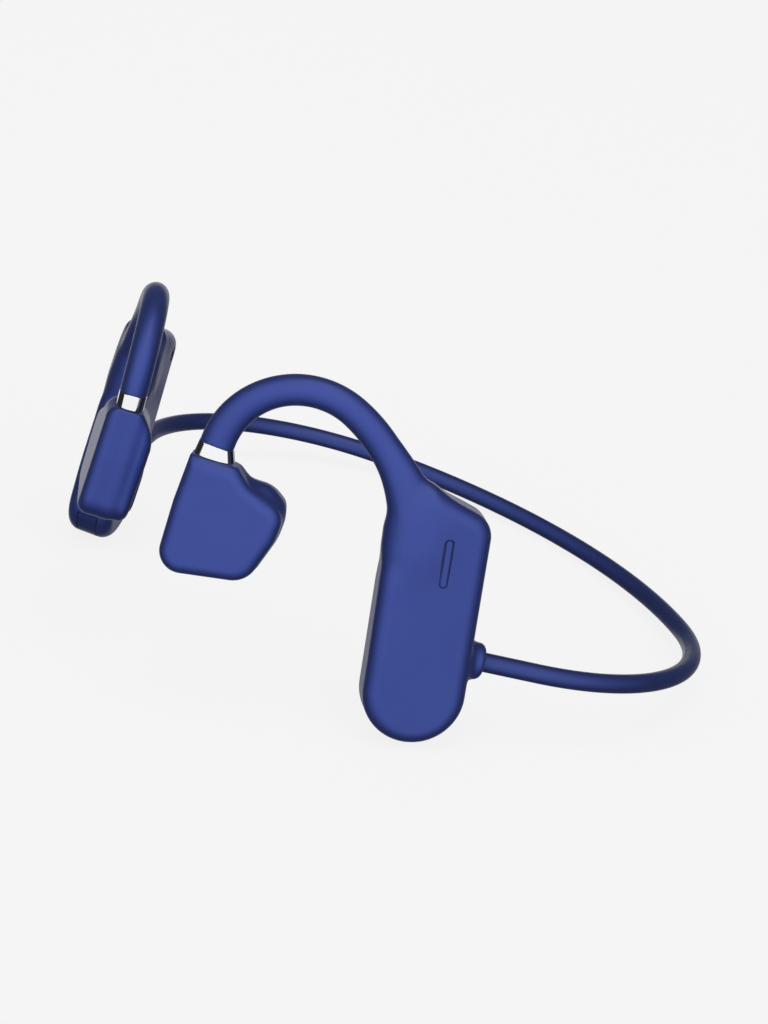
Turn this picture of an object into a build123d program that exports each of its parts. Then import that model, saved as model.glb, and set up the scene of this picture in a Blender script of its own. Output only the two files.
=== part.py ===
"""Open-ear bone conduction headphones: a sprung neckband, two pods, two ear hooks and two driver pods.

Millimetres. +X is the wearer's left, +Y the back of the head and +Z up from the table that the headset
lies on, touching it with both pods and the back of the neckband. The left side is modelled and the right
side is its mirror image about the plane X = 0.
"""

import os
from math import cos, radians, sin

from build123d import *

os.makedirs("parts", exist_ok=True)

# How the headset lies
REST_TILT = 10.36
BASE_ORIGIN = (0.0, -47.77, 22.86)

# Neckband: two bends and a straight run on each side, all in one plane
BAND_R = 2.0
BAND_BACK_Y = 116.0
NAPE_BEND_R = 102.3
NAPE_BEND_DEG = 29.05
SIDE_BEND_R = 43.4
SIDE_BEND_DEG = 96.35
BAND_FALL = 0.5
BAND_EXIT_RUN = 11.7
BAND_TAIL = 19.0
BAND_WIRE_R = 0.6
BAND_WIRE_RISE = 0.8
BAND_CABLE_R = 0.55
BAND_CABLE_RISE = -0.85
LUMEN_GAP = 0.05

# Ear hook: an upright start, the crown bend and the rear bend
RING_TOP = (13.5, -15.1, 28.5)
HOOK_TOE = 40.5
HOOK_HALF_IN_PLANE = 3.25
HOOK_HALF_ACROSS = 2.88
HOOK_START = 1.05
CROWN_R = 16.95
CROWN_DEG = 116.5
REAR_R = 31.9
REAR_DEG = 51.8
SLEEVE_REAR_DEG = 21.3
RING_LEAN = 3.55
HOOK_WIRE_R = 0.6
HOOK_CABLE_R = 0.65
HOOK_CABLE_IN = 1.5

# Chrome ring between hook and driver pod
RING_H = 2.75
RING_TOP_W = 7.05
RING_FOOT_W = 8.3
RING_THICK = 5.76
RING_GAP = 0.2

# Driver pod
DRIVER_TILT = 3.0
DRIVER_TURN = 3.0
DRIVER_OUT = 4.3
DRIVER_IN = -6.2
DRIVER_SPLIT = -0.8
DRIVER_WALL = 1.2
DRIVER_EDGE = 1.7
TRANSDUCER = (5.6, -13.4)
PAD_AT = (3.2, -16.4)
MESH_AT = (9.2, -8.0)

# Battery pod
POD_CENTRE = (49.25, 17.5, 10.0)
POD_TOE = 54.6
POD_LEAN = 7.4
POD_TILT = 2.0
POD_HALF_W = 10.4
POD_HALF_T = 5.25
POD_ARC_Y = -19.1
POD_CORNER_Y = 17.9
POD_NECK_A = (-10.4, 15.0)
POD_NECK_B = (-2.6, 23.8)
POD_NECK_T = 8.9
NECK_TAPER = 6.0
POD_SPLIT = -0.4
POD_WALL = 1.3
POD_EDGE = 3.0
BOSS_R = 3.75
COLLAR_L = 8.0

# Controls
KEY_GAP = 0.3
BUTTON_AT = (1.75, 9.2)
BUTTON_L = 9.7
BUTTON_W = 1.3
BUTTON_GAP = 0.25
VOLUME_KEY_YS = (2.4, 9.4)
VOLUME_KEY_L = 5.4
VOLUME_KEY_W = 2.2
SCREW_SPOTS = ((6.6, 14.6), (4.6, -23.6))
LIGHT_AT = (1.35, 10.0)
MIC_AT = (-5.6, -11.0)
FLAP_FROM = 195.0
FLAP_TO = 255.0
FLAP_HALF_W = 2.1

BASE = Plane(
    origin=BASE_ORIGIN,
    x_dir=(1, 0, 0),
    z_dir=(0, sin(radians(REST_TILT)), cos(radians(REST_TILT))),
)


def upright_plane(place, toe):
    """Upright plane on the left side: its x runs back, its y up and its z out from the head."""
    back = (cos(radians(toe)), sin(radians(toe)), 0)
    out = (sin(radians(toe)), -cos(radians(toe)), 0)
    return Plane(
        origin=BASE.from_local_coords(place),
        x_dir=BASE.from_local_coords(back) - BASE.origin,
        z_dir=BASE.from_local_coords(out) - BASE.origin,
    )


def plane_on(host, place, x_dir, z_dir):
    """Plane whose origin and directions are given in another plane's own axes."""
    return Plane(
        origin=host.from_local_coords(place),
        x_dir=host.from_local_coords(x_dir) - host.origin,
        z_dir=host.from_local_coords(z_dir) - host.origin,
    )


def tipped(plane, about_x, about_y, about_z):
    """The same plane turned about its own axes, in degrees."""
    return Plane(plane.location * Rotation(about_x, about_y, about_z))


BAND = plane_on(
    BASE,
    (0, 0, -BAND_BACK_Y * sin(radians(BAND_FALL))),
    (1, 0, 0),
    (0, -sin(radians(BAND_FALL)), cos(radians(BAND_FALL))),
)
HOOK = upright_plane(RING_TOP, HOOK_TOE)
DRIVER = tipped(
    plane_on(HOOK, (0, -RING_H - RING_GAP, 0), (1, 0, 0), (0, 0, 1)), -DRIVER_TILT, -DRIVER_TURN, 0
)
POD = tipped(upright_plane(POD_CENTRE, POD_TOE), -POD_TILT, 0, POD_LEAN)


def rounded(points, corners):
    """Closed outline through points, with (nearby place, radius) for each corner that is rounded."""
    with BuildSketch() as outline:
        with BuildLine():
            Polyline(*points, close=True)
        make_face()
        for place, radius in corners:
            fillet(outline.vertices().sort_by_distance((*place, 0))[0], radius)
    return outline.sketch


def inset(outline, amount):
    """The same outline drawn smaller by a wall's thickness."""
    with BuildSketch() as smaller:
        offset(outline, amount=-amount, mode=Mode.ADD)
    return smaller.sketch


def far_face(solid, plane, way):
    """The face of a solid that lies furthest along a plane's normal."""
    return solid.faces().sort_by(Axis(plane.origin, plane.z_dir * way))[-1]


def rim_edges(solid, plane, way, open_at):
    """Edges round the furthest face, less the one nearest the place where the next piece joins on."""
    rim = far_face(solid, plane, way).edges()
    joint = rim.sort_by_distance(plane.from_local_coords(open_at))[0]
    return rim.filter_by(lambda edge: edge != joint)


# ---------------------------------------------------------------- neckband
side_centre = (
    (NAPE_BEND_R - SIDE_BEND_R) * sin(radians(NAPE_BEND_DEG)),
    BAND_BACK_Y - NAPE_BEND_R + (NAPE_BEND_R - SIDE_BEND_R) * cos(radians(NAPE_BEND_DEG)),
)
turn = NAPE_BEND_DEG + SIDE_BEND_DEG
bend_end = (
    side_centre[0] + SIDE_BEND_R * sin(radians(turn)),
    side_centre[1] + SIDE_BEND_R * cos(radians(turn)),
)


def band_run(tail):
    """Path of the neckband, from inside the right pod round the nape to inside the left pod."""
    end = (bend_end[0] + tail * cos(radians(turn)), bend_end[1] - tail * sin(radians(turn)))
    with BuildLine(BAND) as run:
        Line((-end[0], end[1]), (-bend_end[0], bend_end[1]))
        CenterArc((-side_centre[0], side_centre[1]), SIDE_BEND_R, 90 + turn, -SIDE_BEND_DEG)
        CenterArc((0, BAND_BACK_Y - NAPE_BEND_R), NAPE_BEND_R, 90 + NAPE_BEND_DEG, -2 * NAPE_BEND_DEG)
        CenterArc(side_centre, SIDE_BEND_R, 90 - NAPE_BEND_DEG, -SIDE_BEND_DEG)
        Line(bend_end, end)
    return run.line


def section_plane(path, across):
    """Plane square to a path at its start."""
    return Plane(origin=path @ 0, x_dir=across, z_dir=path % 0)


sleeve_run = band_run(BAND_TAIL)
with BuildPart() as neckband_sleeve:
    with BuildSketch(section_plane(sleeve_run, BAND.z_dir)):
        Circle(BAND_R)
        with Locations((BAND_WIRE_RISE, 0)):
            Circle(BAND_WIRE_R + LUMEN_GAP, mode=Mode.SUBTRACT)
        with Locations((BAND_CABLE_RISE, 0)):
            Circle(BAND_CABLE_R + LUMEN_GAP, mode=Mode.SUBTRACT)
    sweep(path=sleeve_run)

wire_run = band_run(BAND_TAIL + 1.2)
with BuildPart() as neckband_core_wire:
    with BuildSketch(section_plane(wire_run, BAND.z_dir)):
        with Locations((BAND_WIRE_RISE, 0)):
            Circle(BAND_WIRE_R)
    sweep(path=wire_run)

with BuildPart() as neckband_signal_cable:
    with BuildSketch(section_plane(wire_run, BAND.z_dir)):
        with Locations((BAND_CABLE_RISE, 0)):
            Circle(BAND_CABLE_R)
    sweep(path=wire_run)

BAND_EXIT = plane_on(
    BAND,
    (
        bend_end[0] + BAND_EXIT_RUN * cos(radians(turn)),
        bend_end[1] - BAND_EXIT_RUN * sin(radians(turn)),
        0,
    ),
    (0, 0, 1),
    (-cos(radians(turn)), sin(radians(turn)), 0),
)

# ---------------------------------------------------------------- ear hook
crown_centre = (CROWN_R, -HOOK_START)
crown_end_deg = 180 - CROWN_DEG
rear_centre = (
    crown_centre[0] + (CROWN_R - REAR_R) * cos(radians(crown_end_deg)),
    crown_centre[1] + (CROWN_R - REAR_R) * sin(radians(crown_end_deg)),
)


skin_end_deg = crown_end_deg - SLEEVE_REAR_DEG
skin_end_out = (cos(radians(skin_end_deg)), sin(radians(skin_end_deg)), 0)
skin_end_up = (-skin_end_out[1], skin_end_out[0], 0)
skin_end = (rear_centre[0] + REAR_R * skin_end_out[0], rear_centre[1] + REAR_R * skin_end_out[1], 0)

neck_l = ((POD_NECK_B[0] - POD_NECK_A[0]) ** 2 + (POD_NECK_B[1] - POD_NECK_A[1]) ** 2) ** 0.5
neck_mid = ((POD_NECK_A[0] + POD_NECK_B[0]) / 2, (POD_NECK_A[1] + POD_NECK_B[1]) / 2)
neck_way = ((POD_NECK_B[0] - POD_NECK_A[0]) / neck_l, (POD_NECK_B[1] - POD_NECK_A[1]) / neck_l, 0)
NECK = plane_on(POD, (*neck_mid, 0), neck_way, (-neck_way[1], neck_way[0], 0))
neck_side = plane_on(NECK, (0, 0, 0), (0, 0, 1), (1, 0, 0))


def hook_run(drop, rear_deg):
    """Path of the ear hook from below its ring, over the crown and down the rear leg."""
    with BuildLine(HOOK) as run:
        Line((0, -drop), (0, -HOOK_START))
        CenterArc(crown_centre, CROWN_R, 180, -CROWN_DEG)
        CenterArc(rear_centre, REAR_R, crown_end_deg, -rear_deg)
    return run.line


def hook_skin():
    """Path of the silicone sleeve, which starts on the ring and ends at the boot."""
    with BuildLine(HOOK) as run:
        CenterArc(crown_centre, CROWN_R, 180 - RING_LEAN, RING_LEAN - CROWN_DEG)
        CenterArc(rear_centre, REAR_R, crown_end_deg, -SLEEVE_REAR_DEG)
    return run.line


hook_skin_run = hook_skin()
hook_wire_run = hook_run(RING_H + 3.0, REAR_DEG)
with BuildPart() as hook_sleeve:
    with BuildSketch(section_plane(hook_skin_run, HOOK.z_dir)):
        Ellipse(HOOK_HALF_ACROSS, HOOK_HALF_IN_PLANE)
        Circle(HOOK_WIRE_R + LUMEN_GAP, mode=Mode.SUBTRACT)
        with Locations((-HOOK_CABLE_IN, 0)):
            Circle(HOOK_CABLE_R + LUMEN_GAP, mode=Mode.SUBTRACT)
    sweep(path=hook_skin_run)

with BuildPart() as hook_core_wire:
    with BuildSketch(section_plane(hook_wire_run, HOOK.z_dir)):
        Circle(HOOK_WIRE_R)
    sweep(path=hook_wire_run)

with BuildPart() as hook_signal_cable:
    with BuildSketch(section_plane(hook_wire_run, HOOK.z_dir)):
        with Locations((-HOOK_CABLE_IN, 0)):
            Circle(HOOK_CABLE_R)
    sweep(path=hook_wire_run)

with BuildPart() as hook_boot:
    with BuildSketch(NECK):
        RectangleRounded(neck_l, POD_NECK_T, POD_EDGE)
    with BuildSketch(plane_on(HOOK, skin_end, skin_end_out, skin_end_up)):
        RectangleRounded(2 * HOOK_HALF_IN_PLANE, 2 * HOOK_HALF_ACROSS, 2.7)
    loft()
    with BuildSketch(section_plane(hook_wire_run, HOOK.z_dir)):
        Circle(HOOK_WIRE_R + LUMEN_GAP)
        with Locations((-HOOK_CABLE_IN, 0)):
            Circle(HOOK_CABLE_R + LUMEN_GAP)
    sweep(path=hook_wire_run, mode=Mode.SUBTRACT)

# ---------------------------------------------------------------- chrome ring
ring_foot = plane_on(HOOK, (0.2, -RING_H, 0), (1, 0, 0), (0, 1, 0))
with BuildPart() as trim_ring:
    with BuildSketch(ring_foot):
        RectangleRounded(RING_FOOT_W, RING_THICK, 2.3)
    with BuildSketch(tipped(section_plane(hook_skin_run, HOOK.z_dir), 0, 0, 90)):
        RectangleRounded(RING_TOP_W, RING_THICK, 2.7)
    loft()
    with BuildSketch(ring_foot):
        with Locations((-0.2, 0)):
            Circle(2.25)
    extrude(amount=2 * RING_H, mode=Mode.SUBTRACT)

# ---------------------------------------------------------------- driver pod
driver_face = rounded(
    [(-4.0, 0), (-5.1, -10), (-5.35, -25.2), (13.5, -21.9), (16.7, -12), (17.1, -6.1), (8.8, -3.0), (4.3, 0)],
    [((-5.35, -25.2), 4.5), ((13.5, -21.9), 5.5), ((17.1, -6.1), 3.8), ((16.7, -12), 12.0), ((8.8, -3.0), 6.0)],
)
driver_lobe = rounded(
    [(-4.0, 0), (-5.1, -10), (-5.35, -25.2), (13.5, -21.9), (16.7, -12), (16.7, -5.2), (12.4, -2.1), (7.3, -2.3),
     (4.3, 0)],
    [((-5.35, -25.2), 4.5), ((13.5, -21.9), 5.5), ((16.7, -5.2), 3.2), ((16.7, -12), 12.0), ((12.4, -2.1), 5.0),
     ((7.3, -2.3), 3.0)],
)
driver_side = plane_on(DRIVER, (-12, 0, 0), (0, 1, 0), (1, 0, 0))
cable_well = plane_on(DRIVER, (0, -3.6, -0.6), (1, 0, 0), (0, 1, 0))

with BuildPart() as driver_outer_shell:
    with BuildSketch(DRIVER.offset(DRIVER_SPLIT)):
        add(driver_face)
    extrude(amount=DRIVER_OUT - DRIVER_SPLIT)
    fillet(rim_edges(driver_outer_shell, DRIVER, 1, (0, 0, DRIVER_OUT)), DRIVER_EDGE)
    with BuildSketch(driver_side):
        Polygon((0, 2.9), (0, DRIVER_OUT + 1), (-1.6, DRIVER_OUT), align=None)
    extrude(amount=40, mode=Mode.SUBTRACT)
    with BuildSketch(DRIVER.offset(DRIVER_SPLIT)):
        add(inset(driver_face, 1.5))
        Rectangle(12, 8, mode=Mode.SUBTRACT)
    extrude(amount=2.4, mode=Mode.SUBTRACT)
    with BuildSketch(DRIVER.offset(DRIVER_SPLIT)):
        with Locations(TRANSDUCER):
            Circle(7.3)
    extrude(amount=DRIVER_OUT - DRIVER_WALL - DRIVER_SPLIT, mode=Mode.SUBTRACT)
    with BuildSketch(cable_well):
        Circle(2.3)
    extrude(amount=8, both=True, mode=Mode.SUBTRACT)

with BuildPart() as driver_inner_shell:
    with BuildSketch(DRIVER.offset(DRIVER_SPLIT)):
        add(driver_lobe)
    extrude(amount=DRIVER_IN - DRIVER_SPLIT)
    fillet(rim_edges(driver_inner_shell, DRIVER, -1, (0, 0, DRIVER_IN)), DRIVER_EDGE)
    with BuildSketch(driver_side):
        Polygon((0, -2.9), (0, DRIVER_IN - 1), (-4.2, DRIVER_IN), align=None)
    extrude(amount=40, mode=Mode.SUBTRACT)
    with BuildSketch(DRIVER.offset(DRIVER_SPLIT)):
        add(inset(driver_lobe, 1.5))
        Rectangle(12, 8, mode=Mode.SUBTRACT)
    extrude(amount=-3.0, mode=Mode.SUBTRACT)
    with BuildSketch(DRIVER.offset(DRIVER_SPLIT)):
        with Locations(TRANSDUCER):
            Circle(7.3)
    extrude(amount=DRIVER_IN + DRIVER_WALL - DRIVER_SPLIT, mode=Mode.SUBTRACT)
    with BuildSketch(cable_well):
        Circle(2.3)
    extrude(amount=8, both=True, mode=Mode.SUBTRACT)
    with BuildSketch(DRIVER.offset(DRIVER_IN)):
        with Locations(MESH_AT):
            SlotOverall(8.0, 3.4)
        with Locations(PAD_AT):
            RectangleRounded(11.1, 11.1, 3.05)
    extrude(amount=0.45, mode=Mode.SUBTRACT)
    with BuildSketch(DRIVER.offset(DRIVER_IN)):
        with Locations(MESH_AT):
            SlotOverall(6.8, 2.2)
    extrude(amount=2.4, mode=Mode.SUBTRACT)

with BuildPart() as speaker_mesh:
    with BuildSketch(DRIVER.offset(DRIVER_IN)):
        with Locations(MESH_AT):
            SlotOverall(7.9, 3.3)
            with GridLocations(0.85, 0.85, 7, 2):
                Circle(0.27, mode=Mode.SUBTRACT)
    extrude(amount=0.45)

with BuildPart() as ear_pad:
    with BuildSketch(DRIVER.offset(DRIVER_IN + 0.45)):
        with Locations(PAD_AT):
            RectangleRounded(11, 11, 3)
    extrude(amount=-1.15)
    fillet(far_face(ear_pad, DRIVER, -1).edges(), 0.5)

with BuildPart() as transducer_yoke:
    with BuildSketch(DRIVER.offset(DRIVER_OUT - DRIVER_WALL)):
        with Locations(TRANSDUCER):
            Circle(7.2)
    extrude(amount=-5.1)
    with BuildSketch(DRIVER.offset(DRIVER_OUT - DRIVER_WALL - 1.2)):
        with Locations(TRANSDUCER):
            Circle(6.3)
    extrude(amount=-3.9, mode=Mode.SUBTRACT)

with BuildPart() as transducer_magnet:
    with BuildSketch(DRIVER.offset(DRIVER_OUT - DRIVER_WALL - 1.2)):
        with Locations(TRANSDUCER):
            Circle(4.6)
    extrude(amount=-1.9)

with BuildPart() as voice_coil:
    with BuildSketch(DRIVER.offset(-2.0)):
        with Locations(TRANSDUCER):
            Circle(5.6)
            Circle(5.0, mode=Mode.SUBTRACT)
    extrude(amount=2.9)

with BuildPart() as diaphragm:
    with BuildSketch(DRIVER.offset(-2.0)):
        with Locations(TRANSDUCER):
            Circle(7.1)
    extrude(amount=-0.35)
    with BuildSketch(DRIVER.offset(-2.35)):
        with Locations(TRANSDUCER):
            Circle(5.6)
            Circle(4.4, mode=Mode.SUBTRACT)
    extrude(amount=-0.5, taper=20)

# ---------------------------------------------------------------- battery pod
pod_face = rounded(
    [POD_NECK_A, (-POD_HALF_W, POD_ARC_Y), (-POD_HALF_W, POD_ARC_Y - POD_HALF_W),
     (POD_HALF_W, POD_ARC_Y - POD_HALF_W), (POD_HALF_W, POD_CORNER_Y), POD_NECK_B],
    [((-POD_HALF_W, POD_ARC_Y - POD_HALF_W), POD_HALF_W - 0.02),
     ((POD_HALF_W, POD_ARC_Y - POD_HALF_W), POD_HALF_W - 0.02),
     ((POD_HALF_W, POD_CORNER_Y), 5.0)],
)


def pod_radial(angle, radius):
    """Plane square to a radius of the pod's round foot, facing out, with its x across the pod."""
    way = (cos(radians(angle)), sin(radians(angle)), 0)
    foot = (radius * way[0], POD_ARC_Y + radius * way[1], 0)
    return plane_on(POD, foot, (0, 0, 1), way)


with BuildPart() as pod_outer:
    with BuildSketch(POD.offset(POD_SPLIT)):
        add(pod_face)
    extrude(amount=POD_HALF_T - POD_SPLIT)
    fillet(rim_edges(pod_outer, POD, 1, (*neck_mid, POD_HALF_T)), POD_EDGE)
    with BuildSketch(neck_side):
        Polygon((0, POD_NECK_T / 2), (0, 9), (-NECK_TAPER, POD_HALF_T), align=None)
    extrude(amount=neck_l, both=True, mode=Mode.SUBTRACT)
    with BuildSketch(POD.offset(POD_SPLIT)):
        add(inset(pod_face, 1.5))
        with Locations(*SCREW_SPOTS):
            Circle(1.7, mode=Mode.SUBTRACT)
    extrude(amount=POD_HALF_T - POD_WALL - POD_SPLIT, mode=Mode.SUBTRACT)
    with BuildSketch(POD.offset(POD_SPLIT)):
        with Locations(*SCREW_SPOTS):
            Circle(0.8)
    extrude(amount=3.3, mode=Mode.SUBTRACT)
    with BuildSketch(BAND_EXIT):
        Circle(BOSS_R + 0.05)
    extrude(amount=-COLLAR_L - 1, mode=Mode.SUBTRACT)
    with BuildSketch(section_plane(hook_wire_run, HOOK.z_dir)):
        with Locations((-HOOK_CABLE_IN / 2, 0)):
            Circle(1.75)
    sweep(path=hook_wire_run, mode=Mode.SUBTRACT)

with BuildPart() as pod_inner:
    with BuildSketch(POD.offset(POD_SPLIT)):
        add(pod_face)
    extrude(amount=-POD_HALF_T - POD_SPLIT)
    fillet(rim_edges(pod_inner, POD, -1, (*neck_mid, -POD_HALF_T)), POD_EDGE)
    with BuildSketch(neck_side):
        Polygon((0, -POD_NECK_T / 2), (0, -9), (-NECK_TAPER, -POD_HALF_T), align=None)
    extrude(amount=neck_l, both=True, mode=Mode.SUBTRACT)
    with BuildSketch(POD.offset(POD_SPLIT)):
        add(inset(pod_face, 1.5))
        with Locations(*SCREW_SPOTS):
            Circle(2.1, mode=Mode.SUBTRACT)
    extrude(amount=-POD_HALF_T + POD_WALL - POD_SPLIT, mode=Mode.SUBTRACT)
    with BuildSketch(POD.offset(POD_SPLIT)):
        with Locations(*SCREW_SPOTS):
            Circle(0.85)
    extrude(amount=-6, mode=Mode.SUBTRACT)
    with BuildSketch(POD.offset(-POD_HALF_T)):
        with Locations(*SCREW_SPOTS):
            Circle(1.6)
    extrude(amount=1.1, mode=Mode.SUBTRACT)
    with BuildSketch(BAND_EXIT):
        Circle(BOSS_R + 0.05)
    extrude(amount=-COLLAR_L - 1, mode=Mode.SUBTRACT)
    with BuildSketch(section_plane(hook_wire_run, HOOK.z_dir)):
        with Locations((-HOOK_CABLE_IN / 2, 0)):
            Circle(1.75)
    sweep(path=hook_wire_run, mode=Mode.SUBTRACT)

with BuildPart() as pod_screws:
    with BuildSketch(POD.offset(-POD_HALF_T + 1.1)):
        with Locations(*SCREW_SPOTS):
            Circle(1.5)
    extrude(amount=-0.9)
    with BuildSketch(POD.offset(-POD_HALF_T + 0.2)):
        with Locations(*SCREW_SPOTS):
            RegularPolygon(0.65, 6)
    extrude(amount=0.6, mode=Mode.SUBTRACT)
    with BuildSketch(POD.offset(-POD_HALF_T + 1.1)):
        with Locations(*SCREW_SPOTS):
            Circle(0.75)
    extrude(amount=6.6)

with BuildPart() as band_collar:
    with BuildSketch(BAND_EXIT):
        Circle(BOSS_R)
    extrude(amount=-COLLAR_L)
    fillet(far_face(band_collar, BAND_EXIT, 1).edges(), 1.3)
    with BuildSketch(BAND_EXIT):
        Circle(BAND_R + LUMEN_GAP)
    extrude(amount=-COLLAR_L, mode=Mode.SUBTRACT)

# ---------------------------------------------------------------- left pod only
with BuildPart() as left_pod_outer_shell:
    add(pod_outer.part)
    with BuildSketch(POD.offset(POD_HALF_T)):
        with Locations(Location(BUTTON_AT, 90)):
            SlotOverall(BUTTON_L + 2 * BUTTON_GAP, BUTTON_W + 2 * BUTTON_GAP)
    extrude(amount=-POD_WALL - 0.2, mode=Mode.SUBTRACT)

with BuildPart() as multi_function_button:
    with BuildSketch(POD.offset(3.1)):
        with Locations(Location(BUTTON_AT, 90)):
            SlotOverall(BUTTON_L + 1.4, BUTTON_W + 1.9)
    extrude(amount=0.5)
    with BuildSketch(POD.offset(3.6)):
        with Locations(Location(BUTTON_AT, 90)):
            SlotOverall(BUTTON_L, BUTTON_W)
    extrude(amount=POD_HALF_T + 0.1 - 3.6)
    fillet(far_face(multi_function_button, POD, 1).edges(), 0.25)

with BuildPart() as button_board:
    with BuildSketch(POD.offset(0.4)):
        with Locations((0.4, 8.3)):
            Rectangle(8.6, 12.6)
    extrude(amount=0.8)
    with BuildSketch(POD.offset(0.4)):
        with Locations((-1.4, 5.2), (-1.4, 11.8)):
            Rectangle(2.4, 3.0)
    extrude(amount=-0.9)

with BuildPart() as button_switch:
    with BuildSketch(POD.offset(1.2)):
        with Locations(BUTTON_AT):
            Rectangle(3.0, 3.6)
    extrude(amount=0.8)
    with BuildSketch(POD.offset(2.0)):
        with Locations(BUTTON_AT):
            Circle(0.9)
    extrude(amount=0.4)

with BuildPart() as battery:
    with BuildSketch(POD.offset(-3.2)):
        with Locations((-1.6, -10.2)):
            RectangleRounded(13.2, 21.2, 1.0)
    extrude(amount=5.4)
    fillet(far_face(battery, POD, 1).edges(), 0.6)

# ---------------------------------------------------------------- right pod only, as its mirror image
key_spots = [plane_on(POD, (POD_HALF_W + 0.3, y, 0), (0, 1, 0), (1, 0, 0)) for y in VOLUME_KEY_YS]


def foot_wedge(inner, outer, start, end):
    """Piece of ring round the pod's foot, between two radii and two angles."""
    with BuildSketch() as wedge:
        with BuildLine():
            near = CenterArc((0, POD_ARC_Y), inner, start, end - start)
            far = CenterArc((0, POD_ARC_Y), outer, start, end - start)
            Line(near @ 0, far @ 0)
            Line(near @ 1, far @ 1)
        make_face()
    return wedge.sketch


flap_mouth = foot_wedge(8.0, 11.0, FLAP_FROM - 1.7, FLAP_TO + 1.7)

with BuildPart() as right_outer_twin:
    add(pod_outer.part)
    with BuildSketch(*key_spots):
        SlotOverall(VOLUME_KEY_L + 2 * KEY_GAP, VOLUME_KEY_W + 2 * KEY_GAP)
    extrude(amount=-2.2, mode=Mode.SUBTRACT)
    with BuildSketch(POD):
        add(flap_mouth)
    extrude(amount=FLAP_HALF_W + KEY_GAP, both=True, mode=Mode.SUBTRACT)
    with BuildSketch(POD.offset(POD_HALF_T)):
        with Locations(LIGHT_AT):
            Circle(0.65)
        with Locations(MIC_AT):
            Circle(0.5)
    extrude(amount=-2, mode=Mode.SUBTRACT)

with BuildPart() as right_inner_twin:
    add(pod_inner.part)
    with BuildSketch(*key_spots):
        SlotOverall(VOLUME_KEY_L + 2 * KEY_GAP, VOLUME_KEY_W + 2 * KEY_GAP)
    extrude(amount=-2.2, mode=Mode.SUBTRACT)
    with BuildSketch(POD):
        add(flap_mouth)
    extrude(amount=FLAP_HALF_W + KEY_GAP, both=True, mode=Mode.SUBTRACT)


def volume_key(spot):
    """Volume key with the flange that holds it behind the pod's wall."""
    with BuildPart() as key:
        with BuildSketch(spot):
            SlotOverall(VOLUME_KEY_L, VOLUME_KEY_W)
        extrude(amount=-2.1)
        fillet(far_face(key, spot, 1).edges(), 0.25)
        with BuildSketch(spot.offset(-2.1)):
            SlotOverall(VOLUME_KEY_L + 1.0, VOLUME_KEY_W + 1.4)
        extrude(amount=-0.5)
    return key


def key_switch(spot):
    """Side-acting switch behind a volume key."""
    with BuildPart() as switch:
        with BuildSketch(spot.offset(-3.4)):
            Rectangle(3.2, 2.4)
        extrude(amount=-1.4)
    return switch


volume_down_key, volume_up_key = [volume_key(spot) for spot in key_spots]
with BuildPart() as volume_switches:
    for spot in key_spots:
        add(key_switch(spot).part)

with BuildPart() as port_flap:
    with BuildSketch(POD.offset(-FLAP_HALF_W)):
        add(foot_wedge(POD_HALF_W - 1.3, POD_HALF_W, FLAP_FROM, FLAP_TO))
    extrude(amount=2 * FLAP_HALF_W)

port_mouth = pod_radial((FLAP_FROM + FLAP_TO) / 2, 7.5)
with BuildPart() as charging_port:
    with BuildSketch(port_mouth):
        RectangleRounded(3.2, 8.9, 1.4)
    extrude(amount=-6.2)
    with BuildSketch(port_mouth):
        RectangleRounded(2.6, 8.3, 1.2)
    extrude(amount=-5.8, mode=Mode.SUBTRACT)
    with BuildSketch(port_mouth.offset(-5.8)):
        Rectangle(0.7, 6.7)
    extrude(amount=4.8)

with BuildPart() as main_board:
    with BuildSketch(POD.offset(-1.4)):
        with Locations((-1.6, -3.0)):
            Rectangle(12.8, 22.0)
    extrude(amount=0.8)
    with BuildSketch(POD.offset(-0.6)):
        with Locations((-2.0, 2.0)):
            Rectangle(5.5, 5.5)
        with Locations((-3.6, -6.6)):
            Rectangle(3.2, 2.6)
        with Locations((1.6, -7.4)):
            Rectangle(2.2, 3.4)
    extrude(amount=0.9)
    with BuildSketch(POD.offset(-1.4)):
        with Locations((-3.4, 5.6), (0.8, 3.6)):
            Rectangle(3.0, 2.2)
    extrude(amount=-0.8)

with BuildPart() as light_pipe:
    with BuildSketch(POD.offset(POD_HALF_T)):
        with Locations(LIGHT_AT):
            Circle(0.6)
    extrude(amount=-2.2)

with BuildPart() as microphone:
    with BuildSketch(POD.offset(POD_HALF_T - POD_WALL)):
        with Locations(MIC_AT):
            Circle(2.0)
    extrude(amount=-1.3)

# ---------------------------------------------------------------- labels and files
centre_pieces = {
    "neckband_sleeve": neckband_sleeve,
    "neckband_core_wire": neckband_core_wire,
    "neckband_signal_cable": neckband_signal_cable,
}
paired_pieces = {
    "pod_screws": pod_screws,
    "band_collar": band_collar,
    "hook_boot": hook_boot,
    "hook_sleeve": hook_sleeve,
    "hook_core_wire": hook_core_wire,
    "hook_signal_cable": hook_signal_cable,
    "trim_ring": trim_ring,
    "driver_outer_shell": driver_outer_shell,
    "driver_inner_shell": driver_inner_shell,
    "transducer_yoke": transducer_yoke,
    "transducer_magnet": transducer_magnet,
    "voice_coil": voice_coil,
    "diaphragm": diaphragm,
    "speaker_mesh": speaker_mesh,
    "ear_pad": ear_pad,
}
left_pieces = {
    "pod_outer_shell": left_pod_outer_shell,
    "pod_inner_shell": pod_inner,
    "multi_function_button": multi_function_button,
    "button_board": button_board,
    "button_switch": button_switch,
    "battery": battery,
}
right_pieces = {
    "pod_outer_shell": right_outer_twin,
    "pod_inner_shell": right_inner_twin,
    "volume_up_key": volume_up_key,
    "volume_down_key": volume_down_key,
    "volume_switches": volume_switches,
    "port_flap": port_flap,
    "charging_port": charging_port,
    "main_board": main_board,
    "light_pipe": light_pipe,
    "microphone": microphone,
}

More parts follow.
